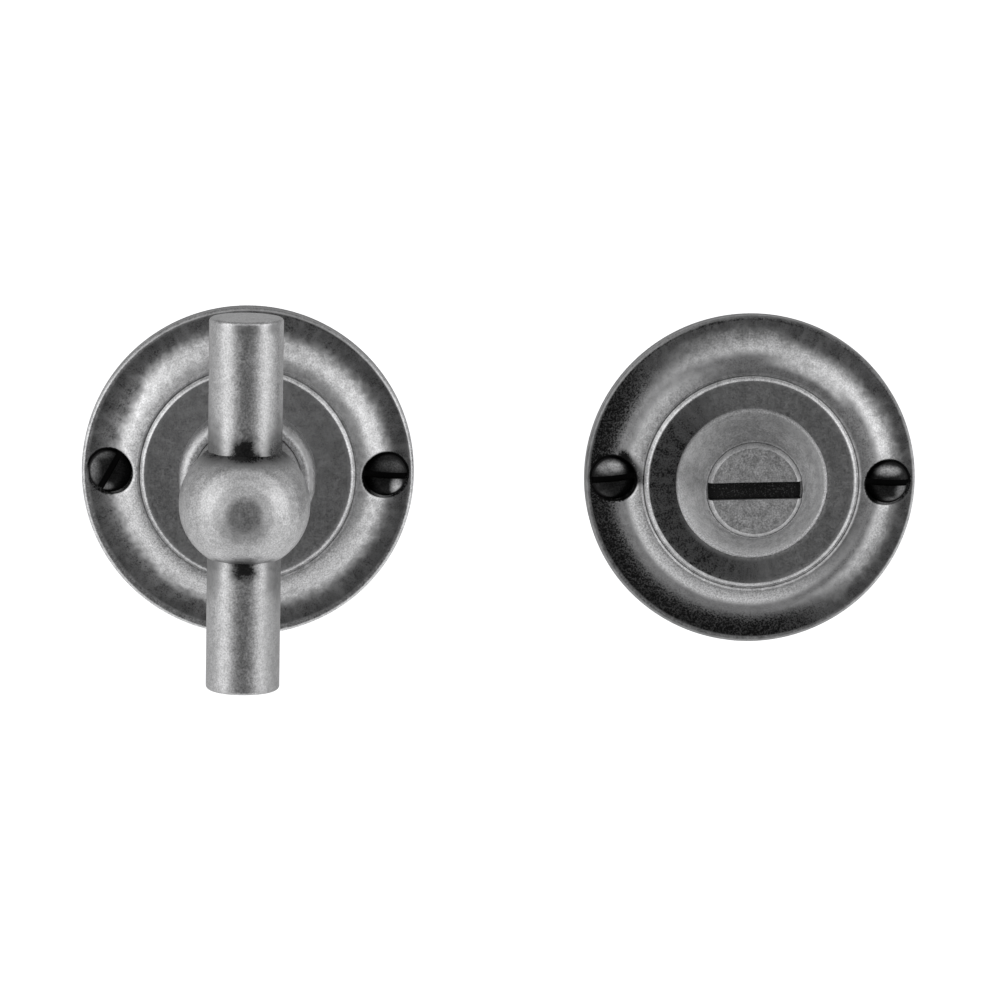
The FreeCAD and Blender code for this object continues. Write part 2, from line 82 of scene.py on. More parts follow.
# %% [markdown]
# Shader maths can be drawn as a web of nodes, but it reads best as plain sums. `Field` wraps one
# output socket, so that `1 - mask` or `radius * 2` adds the Math node by itself. Three smooth
# steps are used again and again: `rise`, its opposite `fall`, and `band`, a soft stripe.

# %% Sums on sockets
class Field:
    """A value that changes over a surface, with the usual operators."""

    def __init__(self, shade, socket):
        self.shade = shade
        self.socket = socket

    def math(self, operation, *others, swap=False):
        terms = list(others) + [self] if swap else [self] + list(others)
        return self.shade.node("ShaderNodeMath", {"operation": operation},
                               dict(enumerate(terms)))

    def __add__(self, other):
        return self.math("ADD", other)

    def __radd__(self, other):
        return self.math("ADD", other)

    def __sub__(self, other):
        return self.math("SUBTRACT", other)

    def __rsub__(self, other):
        return self.math("SUBTRACT", other, swap=True)

    def __mul__(self, other):
        return self.math("MULTIPLY", other)

    def __rmul__(self, other):
        return self.math("MULTIPLY", other)

    def __truediv__(self, other):
        return self.math("DIVIDE", other)

    def __rtruediv__(self, other):
        return self.math("DIVIDE", other, swap=True)

    def __pow__(self, other):
        return self.math("POWER", other)

    def __abs__(self):
        return self.math("ABSOLUTE")

    def most(self, other):
        """The larger of the two."""
        return self.math("MAXIMUM", other)

    def least(self, other):
        """The smaller of the two."""
        return self.math("MINIMUM", other)

    def rise(self, low, high):
        """0 below low, 1 above high, and a smooth step between them."""
        return self.shade.node("ShaderNodeMapRange", {"interpolation_type": "SMOOTHSTEP"},
                               {"Value": self, "From Min": low, "From Max": high})

    def fall(self, low, high):
        """1 below low, 0 above high."""
        return 1 - self.rise(low, high)

    def band(self, middle, half_width):
        """1 at the middle, falling smoothly to 0 half a width away on either side."""
        return abs(self - middle).fall(0.0, half_width)


print("sums on sockets ready")

# %% [markdown]
# Every other node comes from one method, `Shade.node`: the type first, then its settings, then
# what its sockets hold. The nodes that this lock needs often, such as noise, a bump or the
# surface itself, have a short method of their own that calls it.

# %% Nodes of a material
class Shade:
    """The nodes of one material or of the world."""

    def __init__(self, tree):
        self.tree = tree
        self.tree.nodes.clear()

    def node(self, kind, settings=None, inputs=None, output=0):
        made = self.tree.nodes.new(kind)
        for key, setting in (settings or {}).items():
            if key == "stops":
                self.fill_ramp(made.color_ramp, setting)
            else:
                setattr(made, key, setting)
        for key, given in (inputs or {}).items():
            if isinstance(given, Field):
                self.tree.links.new(given.socket, made.inputs[key])
            else:
                made.inputs[key].default_value = given
        return Field(self, made.outputs[output]) if made.outputs else made

    def fill_ramp(self, ramp, stops):
        """Stops are (place, grey) pairs, joined by a smooth curve."""
        ramp.interpolation = "B_SPLINE"
        while len(ramp.elements) < len(stops):
            ramp.elements.new(0.5)
        for element, (place, level) in zip(ramp.elements, stops):
            element.position = place
            element.color = (level, level, level, 1)

    def axes(self, vector):
        """The three parts of a vector."""
        made = self.node("ShaderNodeSeparateXYZ", None, {0: vector}).socket.node
        return [Field(self, socket) for socket in made.outputs]

    def mix(self, first, second, factor, blend="MIX"):
        """A colour between two colours, or one multiplied by the other."""
        return self.node("ShaderNodeMix", {"data_type": "RGBA", "blend_type": blend},
                         {"Factor": factor, 6: first, 7: second}, output=2)

    def noise(self, place, scale, detail=3.0, roughness=0.55, distortion=0.0):
        """Blotches, about 0 to 1, with scale features to the millimetre."""
        return self.node("ShaderNodeTexNoise", None,
                         {"Vector": place, "Scale": scale, "Detail": detail,
                          "Roughness": roughness, "Distortion": distortion})

    def surface(self, inputs, height=None, strength=0.0, reach=0.0):
        """The skin of a material; height presses a bump into it, reach metres deep."""
        if height is not None:
            inputs["Normal"] = self.node("ShaderNodeBump", None,
                                         {"Strength": strength, "Distance": reach,
                                          "Height": height})
        skin = self.node("ShaderNodeBsdfPrincipled", None, inputs)
        self.node("ShaderNodeOutputMaterial", None, {0: skin})


def new_material(name):
    """An empty material, and the Shade that fills it."""
    material = bpy.data.materials.new(name)
    material.use_nodes = True
    return material, Shade(material.node_tree)


def grey(level):
    """A nearly neutral colour of one brightness, a trace cold, as nickel is."""
    return (level, level, level * 1.01, 1)


print("a mid grey is", grey(0.5))

# %% [markdown]
# Polished metal shows what stands round it more than its own colour, so the light comes first.
# The photograph's light is a white tent. The flat faces mirror its dark side, where the camera
# stands, and the slopes mirror the bright panels left and right of it. A world that changes with
# direction gives both: dark round the camera, brightest 60 degrees from it, grey behind. The
# camera itself sees plain white paper.

# %% World
DARK_SIDE = Vector((0.043, -0.982, -0.182)).normalized()
TENT = [(0.0, 0.13), (0.07, 0.13), (0.14, 0.14), (0.20, 0.38), (0.27, 0.86), (0.34, 0.98),
        (0.43, 0.76), (0.54, 0.56), (0.75, 0.48), (1.0, 0.45)]
TENT_STRENGTH = 1.2
PANEL_GAIN = 0.3
PANEL_LOSS = 0.16
CEILING_LOSS = 0.6

world = bpy.data.worlds.new("light_tent")
world.use_nodes = True
scene.world = world
sky = Shade(world.node_tree)
looking = sky.node("ShaderNodeTexCoord", output=0)
towards = sky.node("ShaderNodeVectorMath", {"operation": "DOT_PRODUCT"},
                   {0: looking, 1: DARK_SIDE}, output=1)
turned_away = towards.math("ARCCOSINE") / math.pi
tent = sky.node("ShaderNodeValToRGB", {"stops": TENT}, {0: turned_away})
sideways, _, upward = sky.axes(looking)
panels = sideways ** 2 / (sideways ** 2 + upward ** 2 + 0.01)
panels = 1 + (panels * PANEL_GAIN - PANEL_LOSS) * turned_away.fall(0.45, 0.6)
ceiling = 1 - CEILING_LOSS * upward * turned_away.rise(0.36, 0.55)
tent_light = sky.node("ShaderNodeBackground", None,
                      {"Color": tent, "Strength": TENT_STRENGTH * panels * ceiling})
paper = sky.node("ShaderNodeBackground", None, {"Color": grey(1.0), "Strength": 1.0})
seen = sky.node("ShaderNodeLightPath", output=0)
sky.node("ShaderNodeOutputWorld", None,
         {0: sky.node("ShaderNodeMixShader", None, {0: seen, 1: tent_light, 2: paper})})
scene.view_settings.view_transform = "Standard"
print("world made with", len(TENT), "steps of brightness")

# %% [markdown]
# The floor lies well below the lock, because on a door the lock stands in the air. It is matt and
# pale, and it glows a little, so that it is as white as the paper round it. It is kept out of the
# reflections, so that the metal mirrors only the tent.

# %% Floor
FLOOR_LEVEL = -0.13
FLOOR_HALF = 6.0
FLOOR_GLOW = 0.7
floor_mesh = bpy.data.meshes.new("floor")
drawing = bmesh.new()
bmesh.ops.create_grid(drawing, x_segments=1, y_segments=1, size=FLOOR_HALF)
bmesh.ops.translate(drawing, verts=drawing.verts, vec=(0, 0, FLOOR_LEVEL))
drawing.to_mesh(floor_mesh)
drawing.free()
floor = bpy.data.objects.new("floor", floor_mesh)
scene.collection.objects.link(floor)
floor.visible_glossy = False
paint, matt = new_material("pale_floor")
matt.surface({"Base Color": grey(0.88), "Roughness": 0.9,
              "Emission Color": grey(1.0), "Emission Strength": FLOOR_GLOW})
floor_mesh.materials.append(paint)
print("floor at", FLOOR_LEVEL, "m, out to", FLOOR_HALF, "m")

# %% [markdown]
# The tent lights the metal from all round, which alone looks flat. Two large soft panels, left
# and right of the camera and a little above, give each ball and edge its own highlight. A point
# lamp would do that too, but with hard spots that the photograph doesn't have.

# %% Soft lights
SPACING = 75.7
PANEL_SIZE = 0.9


def soft_light(name, place, watts):
    """A square soft light that looks at the middle of the lock."""
    lamp = bpy.data.lights.new(name, "AREA")
    lamp.size = PANEL_SIZE
    lamp.energy = watts
    panel = bpy.data.objects.new(name, lamp)
    panel.location = place
    aim = Vector((SPACING / 2 * MM, 0, 0)) - panel.location
    panel.rotation_mode = "QUATERNION"
    panel.rotation_quaternion = aim.to_track_quat("-Z", "Y")
    scene.collection.objects.link(panel)
    print(name, watts, "W,", round(aim.length, 2), "m away")


soft_light("left_panel", Vector((-0.95, -0.55, 0.3)), 1.6)
soft_light("right_panel", Vector((1.05, -0.55, 0.3)), 1.2)

# %% [markdown]
# Nearly every piece was turned on a lathe, so each is drawn as half an outline and spun. An
# outline is a list of steps, each with a radius and a height off the door. A step is either
# straight, to a corner that may be rounded over, because sharp corners don't survive tumbling,
# or bent along an arc.

# %% Steps of an outline
TANGENT = "tangent"


def corner(radius, height, soft=0.0):
    """A straight step to a corner, which is rounded over soft millimetres."""
    return radius, height, 0.0, soft


def bend(radius, height, half_turn=TANGENT):
    """A curved step; half_turn is in degrees, or else the arc goes on from the last direction."""
    return radius, height, half_turn, 0.0


print("a corner is", corner(10, 2, 0.1), "and a bend is", bend(10, 2))

# %% [markdown]
# The steps become points. A complex number holds a radius and a height at once, so turning an
# arc is one multiplication: half the angle that an arc turns through is also the angle between
# its chord and the direction in which it starts. An arc without an angle takes it from there,
# so it leaves the last step smoothly.

# %% Points of an outline
ARC_STEPS = 10


def arc(start, end, half_turn):
    """Points after start on the arc that turns twice half_turn radians on its way to end."""
    points = []
    for step in range(1, ARC_STEPS + 1):
        turn = half_turn * step / ARC_STEPS
        reach = math.sin(turn) / math.sin(half_turn)
        points.append(start + (end - start) * reach * cmath.exp(1j * (turn - half_turn)))
    return points


def outline(steps):
    """(point, softness) pairs, where a point is a complex number, radius + height j."""
    start = complex(steps[0][0], steps[0][1])
    points = [(start, steps[0][3])]
    heading = 1 + 0j
    for radius, height, half_turn, soft in steps[1:]:
        end = complex(radius, height)
        chord = end - start
        if half_turn == TANGENT:
            half_turn = cmath.phase(chord / heading)
        else:
            half_turn = math.radians(half_turn)
        if half_turn:
            points += [(point, 0.0) for point in arc(start, end, half_turn)]
        else:
            points.append((end, soft))
        heading = chord * cmath.exp(1j * half_turn)
        start = end
    return points


print("an arc has", len(arc(0j, 1 + 1j, 0.5)), "steps")

# %% [markdown]
# The spin is the lathe. The outline's soft corners are bevelled first, while they are still only
# points of a wire, and long edges are divided, so that dents and cuts find vertices to work
# with. A closed outline gives a ring, an open one starts and ends on the axis.

# %% Spin an outline
LONGEST_FACE = 0.8
SOFT_STEPS = 4
SAME_PLACE = 1e-7


def turned(steps, centre=0.0, segments=192, closed=False):
    """A bmesh spun from an outline, about the axis at centre millimetres across."""
    made = bmesh.new()
    points = outline(steps)
    corners = [made.verts.new(Vector((centre + point.real, -point.imag, 0)) * MM)
               for point, soft in points]
    for pair in zip(corners, corners[1:] + (corners[:1] if closed else [])):
        made.edges.new(pair)
    for vertex, (point, soft) in zip(corners, points):
        if soft:
            bmesh.ops.bevel(made, geom=[vertex], offset=soft * MM, offset_type="OFFSET",
                            segments=SOFT_STEPS, profile=0.5, affect="VERTICES", material=-1)
    for edge in list(made.edges):
        cuts = int(edge.calc_length() / (LONGEST_FACE * MM))
        if cuts:
            bmesh.ops.subdivide_edges(made, edges=[edge], cuts=cuts)
    bmesh.ops.spin(made, geom=made.verts[:] + made.edges[:], cent=(centre * MM, 0, 0),
                   axis=(0, 1, 0), dvec=(0, 0, 0), angle=2 * math.pi, steps=segments,
                   use_merge=True, use_duplicate=False)
    bmesh.ops.remove_doubles(made, verts=made.verts, dist=SAME_PLACE)
    bmesh.ops.recalc_face_normals(made, faces=made.faces)
    return made


print("faces no longer than", LONGEST_FACE, "mm, soft corners in", SOFT_STEPS, "steps")

# %% [markdown]
# The blackened castings were tumbled with stones, which leaves their fronts a little uneven.
# A displacement texture could show that, but a real dent also bends the reflections at the edge
# of a piece, so the vertices themselves are pressed in. They only ever go inwards, so no piece
# grows past its true size.

# %% Tumbling
FRONT_FACING = 0.3


def tumble(made, depth, size, seed):
    """Press dents up to depth deep and about size wide into the front of a piece."""
    made.normal_update()
    for vertex in made.verts:
        if vertex.normal.y < FRONT_FACING:
            dent = 0.5 + 0.5 * noise.noise(vertex.co / (size * MM) + Vector((seed, 0, seed)))
            vertex.co -= vertex.normal * (dent * depth * MM)


print("tumbling leaves the faces that look at the door as they are")

# %% [markdown]
# A finished bmesh becomes an object. Its faces are shaded smooth, and edges that turn by more
# than 38 degrees stay sharp. With a body and a node it rides on that body and stands for that
# node of the CAD model, which is then hidden.

# %% From mesh to piece
SHARP = math.radians(38)


def shade_mesh(mesh):
    """Smooth faces, with the true edges kept sharp."""
    mesh.polygons.foreach_set("use_smooth", [True] * len(mesh.polygons))
    mesh.set_sharp_from_angle(angle=SHARP)


def piece_from(made, name, body=None, node=None):
    """An object from a bmesh; with a body and node, it rides and stands for that node."""
    mesh = bpy.data.meshes.new(name)
    made.to_mesh(mesh)
    made.free()
    shade_mesh(mesh)
    piece = bpy.data.objects.new(name, mesh)
    scene.collection.objects.link(piece)
    if body:
        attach(piece, body)
        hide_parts(node)
        print(name, len(mesh.polygons), "faces, rides on", body)
    return piece


print("edges sharper than", round(math.degrees(SHARP)), "degrees stay sharp")

# %% [markdown]
# Screw seats, slots and sockets are cut after the turning, as in the workshop. A boolean does
# it, with the exact solver, because the cutters meet curved and dented faces. The result is
# made the piece's own mesh at once, so that nothing is left to work out later.

# %% Cutting
def cut(piece, made):
    """Take the shape of a bmesh out of a piece."""
    tool = piece_from(made, "cutter")
    knife = piece.modifiers.new("cut", "BOOLEAN")
    knife.operation = "DIFFERENCE"
    knife.solver = "EXACT"
    knife.object = tool
    bpy.context.view_layer.update()
    graph = bpy.context.evaluated_depsgraph_get()
    result = bpy.data.meshes.new_from_object(piece.evaluated_get(graph))
    piece.modifiers.clear()
    old = piece.data
    result.name = old.name
    piece.data = result
    bpy.data.meshes.remove(old)
    old_tool = tool.data
    bpy.data.objects.remove(tool)
    bpy.data.meshes.remove(old_tool)
    shade_mesh(result)
    print("  cut", piece.name, "to", len(result.polygons), "faces")


print("cutting ready")

# %% [markdown]
# Each rose is a casting about 2.5 mm thick at its rim: a narrow flat land, a dish that sweeps up
# to a low crown, a fine groove with a bead beside it, and a flat plateau. The back is hollow for
# the washers. The outline goes once round that section, from the back edge of the hollow.

# %% Outline of a rose
ROSE_RADIUS = 25
HOLLOW_RADIUS = 15.3
HOLLOW_HEIGHT = 3.2
BORE = 8
PLATEAU = 5.2
ROSE = [corner(HOLLOW_RADIUS, 0), corner(ROSE_RADIUS, 0, 0.1),     # the back, on the door
        corner(ROSE_RADIUS, 2.3, 0.18), corner(24.6, 2.7, 0.18),   # the rim
        corner(23.9, 2.7), bend(19.7, 3.82), bend(16.6, 5.05),     # land, dish and crown
        corner(16.3, 4.9, 0.05), corner(16.1, 4.9, 0.05),          # groove
        corner(15.95, 5.05), bend(15.55, 5.32),                    # bead
        corner(15.3, PLATEAU), corner(BORE, PLATEAU),              # plateau
        corner(BORE, HOLLOW_HEIGHT), corner(14.7, HOLLOW_HEIGHT),  # bore and hollow
        bend(HOLLOW_RADIUS, 2.6)]                                  # casting radius in the hollow
print("rose outline:", len(outline(ROSE)), "points")

# %% [markdown]
# Two round seats are cut in for the screws: a hole for the shank, a cone for the head, and a
# straight wall up to the front. Their mouths are worn soft. The front of the rose slopes across a
# seat, so a bevel along its edge would be uneven, and instead the front sinks a little round it.

# %% Screw seats
SCREW_OFFSET = 20.7
SEAT_RADIUS = 3.5
SEAT_FLOOR = 2.55
SHANK_HOLE = 2.1
HEAD_RADIUS = 3.25
ABOVE_ROSE = 6.5
SEAT = [corner(0, -1), corner(SHANK_HOLE, -1), corner(SHANK_HOLE, 1.4),
        corner(HEAD_RADIUS, SEAT_FLOOR), corner(SEAT_RADIUS, SEAT_FLOOR),
        corner(SEAT_RADIUS, ABOVE_ROSE), corner(0, ABOVE_ROSE)]
MOUTH = 0.45
MOUTH_DROP = 0.07


def near_seat(vertex, centre, low, high):
    """Whether a vertex is between two distances from one of a rose's screw axes."""
    return any(low < Vector((vertex.co.x / MM - centre - side * SCREW_OFFSET,
                             vertex.co.z / MM)).length < high for side in (-1, 1))


def soften_mouths(piece, centre):
    """Lower the front of the rose a little just round each screw seat."""
    for vertex in piece.data.vertices:
        if vertex.co.y < -(SEAT_FLOOR + 0.02) * MM and near_seat(vertex, centre, 3.4, 4.0):
            for side in (-1, 1):
                away = Vector((vertex.co.x / MM - centre - side * SCREW_OFFSET,
                               vertex.co.z / MM)).length - SEAT_RADIUS
                if away < MOUTH:
                    vertex.co.y += MOUTH_DROP * (1 - max(away, 0) / MOUTH) ** 2 * MM


print("two seats", 2 * SCREW_OFFSET, "mm apart, mouths worn over", MOUTH, "mm")

# %% [markdown]
# Both roses come from the same mould. They are tumbled with different seeds, so that no two are
# alike. Round the seats the faces are divided first, because a worn mouth needs finer faces.

# %% Roses
def make_rose(name, node, centre, seed):
    """One rose with its two seats."""
    made = turned(ROSE, centre, closed=True)
    ring = [edge for edge in made.edges
            if all(v.co.y < -2.6 * MM and near_seat(v, centre, 2.9, 4.3) for v in edge.verts)]
    bmesh.ops.subdivide_edges(made, edges=ring, cuts=2, use_grid_fill=True)
    tumble(made, 0.03, 4.5, seed)
    piece = piece_from(made, name, "roses", node)
    for side in (-1, 1):
        cut(piece, turned(SEAT, centre + side * SCREW_OFFSET, 96))
    soften_mouths(piece, centre)
    return piece


turn_rose = make_rose("turn_rose_casting", "turn_rose", 0.0, 3.0)
release_rose = make_rose("release_rose_casting", "release_rose", SPACING, 11.0)

# %% [markdown]
# Collar and boss stand on the plateau, each with a spigot in the rose's bore. The collar has a
# fat round shoulder. The boss is a cone that ends in a thin land round the coin button, with a
# worn lip at its foot.

# %% Collar and boss
SPIGOT = [corner(6.67, HOLLOW_HEIGHT), corner(7.98, HOLLOW_HEIGHT), corner(7.98, PLATEAU)]
COLLAR = SPIGOT + [corner(10.25, PLATEAU), corner(10.25, 8.5), bend(8.55, 10.2, 45),
                   corner(5.2, 10.2, 0.1), corner(5.2, 9), corner(6.67, 9)]
BOSS = SPIGOT + [corner(11.4, PLATEAU), corner(11.4, 5.8, 0.05), corner(11.05, 6.2, 0.05),
                 bend(7.25, 11.5, -8), corner(7.2, 11.45), corner(7.2, 9.8),
                 corner(6.67, 9.8)]

made = turned(COLLAR, 0.0, 160, closed=True)
tumble(made, 0.02, 4.0, 5.0)
collar = piece_from(made, "shoulder_collar", "roses", "turn_collar")
made = turned(BOSS, SPACING, 160, closed=True)
tumble(made, 0.03, 3.5, 7.0)
boss = piece_from(made, "cone_boss", "roses", "release_boss")

# %% [markdown]
# The knob is one turned piece, from the ball's front through the flared neck to the tail of its
# stem, which has a groove for the retaining ring. A UV sphere on a cylinder would look alike
# from afar, but the neck flows into the ball here. The spindle's square socket is cut with a
# block, which can be turned, because the coin slot and the screw slots need one too.

# %% Ball knob
BALL_HEIGHT = 29.1
STEM_RADIUS = 5
RING_GROOVE = 4.35
SOCKET_WIDTH = 5.12
SOCKET_DEPTH = 13.5
SOCKET_MIDDLE = 1.25
STEM = [corner(0, -7), corner(STEM_RADIUS, -7, 0.5), corner(STEM_RADIUS, 0.19),
        corner(RING_GROOVE, 0.19), corner(RING_GROOVE, 0.93), corner(STEM_RADIUS, 0.93)]
KNOB = STEM + [corner(STEM_RADIUS, 10.25), corner(8.2, 10.25, 0.15), corner(8.2, 11.15, 0.2),
               bend(5.6, 14.35, -14.9), corner(5.6, 21.303, 0.5), bend(0, 38.7, 72.0)]


def block(width, depth, length, middle, turn=0.0):
    """A bmesh box in millimetres: across, off the door, up; turned in degrees about its axis."""
    made = bmesh.new()
    bmesh.ops.create_cube(made, size=1.0)
    bmesh.ops.scale(made, verts=made.verts, vec=Vector((width, depth, length)) * MM)
    bmesh.ops.rotate(made, verts=made.verts, cent=(0, 0, 0),
                     matrix=Matrix.Rotation(math.radians(-turn), 3, "Y"))
    bmesh.ops.translate(made, verts=made.verts, vec=Vector(middle) * MM)
    return made


def cut_socket(piece, across):
    """The square hole in the tail of a stem."""
    cut(piece, block(SOCKET_WIDTH, SOCKET_DEPTH, SOCKET_WIDTH, (across, SOCKET_MIDDLE, 0)))


made = turned(KNOB)
tumble(made, 0.03, 5.0, 2.0)
knob = piece_from(made, "ball_knob", "turn", "turn_knob")
cut_socket(knob, 0)

# %% [markdown]
# The bar passes through the ball and is brazed there. Its ends are rounded over by half a
# millimetre. It is spun about the door's axis like everything else, then laid upright and moved
# out to the middle of the ball, all in the mesh, so that the object itself stays at the origin.

# %% Bar
BAR_RADIUS = 5.4
BAR_HALF = 27.4
BAR = [corner(0, -BAR_HALF), corner(BAR_RADIUS, -BAR_HALF, 0.5),
       corner(BAR_RADIUS, BAR_HALF, 0.5), corner(0, BAR_HALF)]

made = turned(BAR, segments=128)
bmesh.ops.rotate(made, verts=made.verts, cent=(0, 0, 0),
                 matrix=Matrix.Rotation(math.pi / 2, 3, "X"))
bmesh.ops.translate(made, verts=made.verts, vec=(0, -BALL_HEIGHT * MM, 0))
tumble(made, 0.03, 6.0, 8.0)
bar = piece_from(made, "turn_bar", "turn", "cross_bar")

# %% [markdown]
# The release's button is a slightly sunken disc with a coin slot right across it, on the same
# stem as the knob. Its edge is rounded and rubbed by coins. The slot was left two degrees off
# level, as in the photograph.

# %% Coin button
COIN_SLOT = 2.6
SLOT_TILT = 2.0
BUTTON = STEM + [corner(STEM_RADIUS, 9.85), corner(7.17, 9.85, 0.1), corner(7.17, 11.5),
                 bend(6.5, 12.42, 12), bend(0, 12.2, -2.2)]
made = turned(BUTTON, SPACING)
tumble(made, 0.015, 3.0, 4.0)
button = piece_from(made, "coin_button", "release", "release_button")
cut(button, block(16, 4.4, COIN_SLOT, (SPACING, -12.45, 0), SLOT_TILT))
cut_socket(button, SPACING)

# %% [markdown]
# The thread of a wood screw is a small ridge that winds round the core. Its section is drawn
# once and spun with a step along the axis, which makes a helix. Afterwards it is drawn in where
# the point begins, and a little where it runs out under the plain shank.

# %% Screw thread
PITCH = 1.25
THREAD_TURNS = 11
STEPS_PER_TURN = 20
THREAD_START = 7.4
THREAD_SECTION = [(1.15, THREAD_START), (1.75, 7.72), (1.75, 7.82), (1.15, 8.15)]
TIP_DEPTH = 22.2
TIP_LENGTH = 4.4
RUN_OUT = 3


def thread():
    """The ridge of the thread, from the plain shank down to near the point."""
    made = bmesh.new()
    ridge = [made.verts.new(Vector((radius, depth, 0)) * MM) for radius, depth in THREAD_SECTION]
    loop = [made.edges.new(pair) for pair in zip(ridge, ridge[1:] + ridge[:1])]
    bmesh.ops.spin(made, geom=ridge + loop, cent=(0, 0, 0), axis=(0, 1, 0),
                   dvec=(0, PITCH / STEPS_PER_TURN * MM, 0), angle=2 * math.pi * THREAD_TURNS,
                   steps=THREAD_TURNS * STEPS_PER_TURN, use_duplicate=False)
    bmesh.ops.holes_fill(made, edges=[e for e in made.edges if e.is_boundary], sides=4)
    bmesh.ops.recalc_face_normals(made, faces=made.faces)
    for vertex in made.verts:
        depth = vertex.co.y / MM
        narrow = min(1.0, (TIP_DEPTH - depth) / TIP_LENGTH,
                     0.72 + (depth - THREAD_START) / RUN_OUT)
        vertex.co.x *= narrow
        vertex.co.z *= narrow
    return made


print("thread of", THREAD_TURNS, "turns,", PITCH * THREAD_TURNS, "mm long")

# %% [markdown]
# Slotted wood screws hold each rose. Head, shank and core are turned, the slot is cut, and the
# thread is joined in last, because a boolean on a helix is slow and isn't needed where the ridge
# simply sinks into the core. Each slot stands at the angle at which it was left in the photograph.

# %% Screws
SCREW = [corner(0, -22), corner(1.25, -18), corner(1.25, -7.5), corner(1.75, -7),
         corner(1.75, 0), corner(1.9, 0.15), corner(1.9, 1.2), corner(3.23, 2.53, 0.05),
         corner(3.23, 2.57), bend(0, 3.55, 17.2)]
DRIVER_SLOT = 0.95
SCREWS = [("turn_screw_left", -SCREW_OFFSET, 61), ("turn_screw_right", SCREW_OFFSET, -3),
          ("release_screw_left", SPACING - SCREW_OFFSET, 7),
          ("release_screw_right", SPACING + SCREW_OFFSET, -1)]


def make_screw(name, node, across, slot_turn):
    """One screw: head, shank and thread, with its slot at the angle it was left."""
    made = turned(SCREW, across, 96)
    ridge = thread()
    bmesh.ops.translate(ridge, verts=ridge.verts, vec=(across * MM, 0, 0))
    helix = bpy.data.meshes.new(name + "_thread")
    ridge.to_mesh(helix)
    ridge.free()
    piece = piece_from(made, name, "roses", node)
    cut(piece, block(8, 2.5, DRIVER_SLOT, (across, -3.55, 0), slot_turn))
    joined = bmesh.new()
    joined.from_mesh(piece.data)
    joined.from_mesh(helix)
    joined.to_mesh(piece.data)
    joined.free()
    shade_mesh(piece.data)
    bpy.data.meshes.remove(helix)
    return piece


screws = {}
for name, across, slot_turn in SCREWS:
    screws[name] = make_screw(name + "_threaded", name, across, slot_turn)

# %% [markdown]
# Every patch of patina, wear, painted shade and painted highlight on this lock follows its round
# shape, so each finish starts from the same three measures: the distance from the piece's axis,
# the height off the door and the place round the axis. Painting the patches on a UV map would
# work too, but these stay sharp at any size and need no unwrapping. Three sizes of noise break
# them up.

# %% Places on a turned piece
class Spot:
    """Where a point of a turned piece is, in millimetres from its own axis, and its blotches."""

    def __init__(self, shade, centre, seed):
        self.shade = shade
        raw = shade.node("ShaderNodeTexCoord", output=3)
        place = shade.node("ShaderNodeMapping", {"vector_type": "POINT"},
                           {0: raw, "Location": (-centre, 0, 0), "Scale": (1000, 1000, 1000)})
        self.across, depth, self.up = shade.axes(place)
        self.height = 0 - depth
        self.radius = (self.across ** 2 + self.up ** 2) ** 0.5
        self.place = shade.node("ShaderNodeVectorMath", {"operation": "ADD"},
                                {0: place, 1: (seed, seed * 0.7, -seed)})
        self.cloud = shade.noise(self.place, 0.16, 4.0)
        self.mottle = shade.noise(self.place, 0.75, 5.0, 0.62, 0.4)
        self.grain = shade.noise(self.place, 3.8, 3.0, 0.75).rise(0.3, 0.7)

    def side(self, degrees):
        """1 in one direction from the axis, -1 opposite; 0 degrees is right and 90 is up."""
        angle = math.radians(degrees)
        return ((self.across * math.cos(angle) + self.up * math.sin(angle))
                / self.radius.most(0.01))

    def spokes(self, count):
        """Blotches drawn out along the radius."""
        rim = self.radius.most(0.01)
        around = self.shade.node("ShaderNodeCombineXYZ", None,
                                 {0: self.across / rim * count, 1: self.radius * 0.25,
                                  2: self.up / rim * count})
        return self.shade.noise(around, 1.0, 3.0, 0.6)


print("noise: clouds about 6 mm, mottling about 1.3 mm, grain about 0.3 mm")

# %% [markdown]
# The metal was plated, blackened and then tumbled, so it is dark where nothing rubs it and bright
# on every edge. One recipe serves all the pieces: a grey metal, darkened by a dirt mask, which
# also holds painted shade, and brightened by a wear mask, which also holds painted highlights,
# both of which each piece works out from its own shape. Patina is also rougher than bare metal,
# and a slight bump makes the surface shimmer as a cast one does.

# %% Aged metal
METAL = 0.7
PATINA_AND_SHADE = 0.012
BRIGHT = 0.95
FULL = 1.0
GRAIN_SHOWS = 0.48
BUMP = 0.4
BUMP_REACH = 0.00005


def aged_metal(name, centre, darkening_and_brightening, tone=1.0, shine=0.33, blotches=0.2, seed=0.0):
    """Material from a function that gives the dirt and painted shade, and the wear and painted
    highlights, of one piece.
    """
    material, shade = new_material(name)
    spot = Spot(shade, centre, seed)
    # dirt and painted shade darken the metal; wear and painted highlights brighten it
    dirt_and_shade, wear_and_sheen = darkening_and_brightening(spot)
    dirt_and_shade = (dirt_and_shade * (0.7 + 0.6 * spot.grain)).most(0).least(FULL)
    wear_and_sheen = (wear_and_sheen * (0.8 + 0.4 * spot.grain)).most(0).least(FULL)
    body = shade.mix(grey(METAL * tone * (1 - blotches)), grey(METAL * tone * (1 + blotches)),
                     spot.mottle.rise(0.3, 0.7))
    body = shade.mix(body, grey(PATINA_AND_SHADE), dirt_and_shade)
    body = shade.mix(body, grey(BRIGHT), wear_and_sheen)
    grained = shade.mix(body, spot.grain, GRAIN_SHOWS, "MULTIPLY")
    roughness = shine + dirt_and_shade * 0.2 + (spot.mottle - 0.5) * 0.08 + (spot.grain - 0.5) * 0.12
    relief = spot.grain * 0.25 + spot.mottle * 0.5 + spot.cloud * 0.3
    shade.surface({"Base Color": grained, "Metallic": 1.0, "Roughness": roughness},
                  relief, BUMP, BUMP_REACH)
    return material


def dress(piece, material):
    """The one material of a piece."""
    piece.data.materials.clear()
    piece.data.materials.append(material)
    print(piece.name, "wears", material.name, "of", len(material.node_tree.nodes), "nodes")


print("aged metal ready")
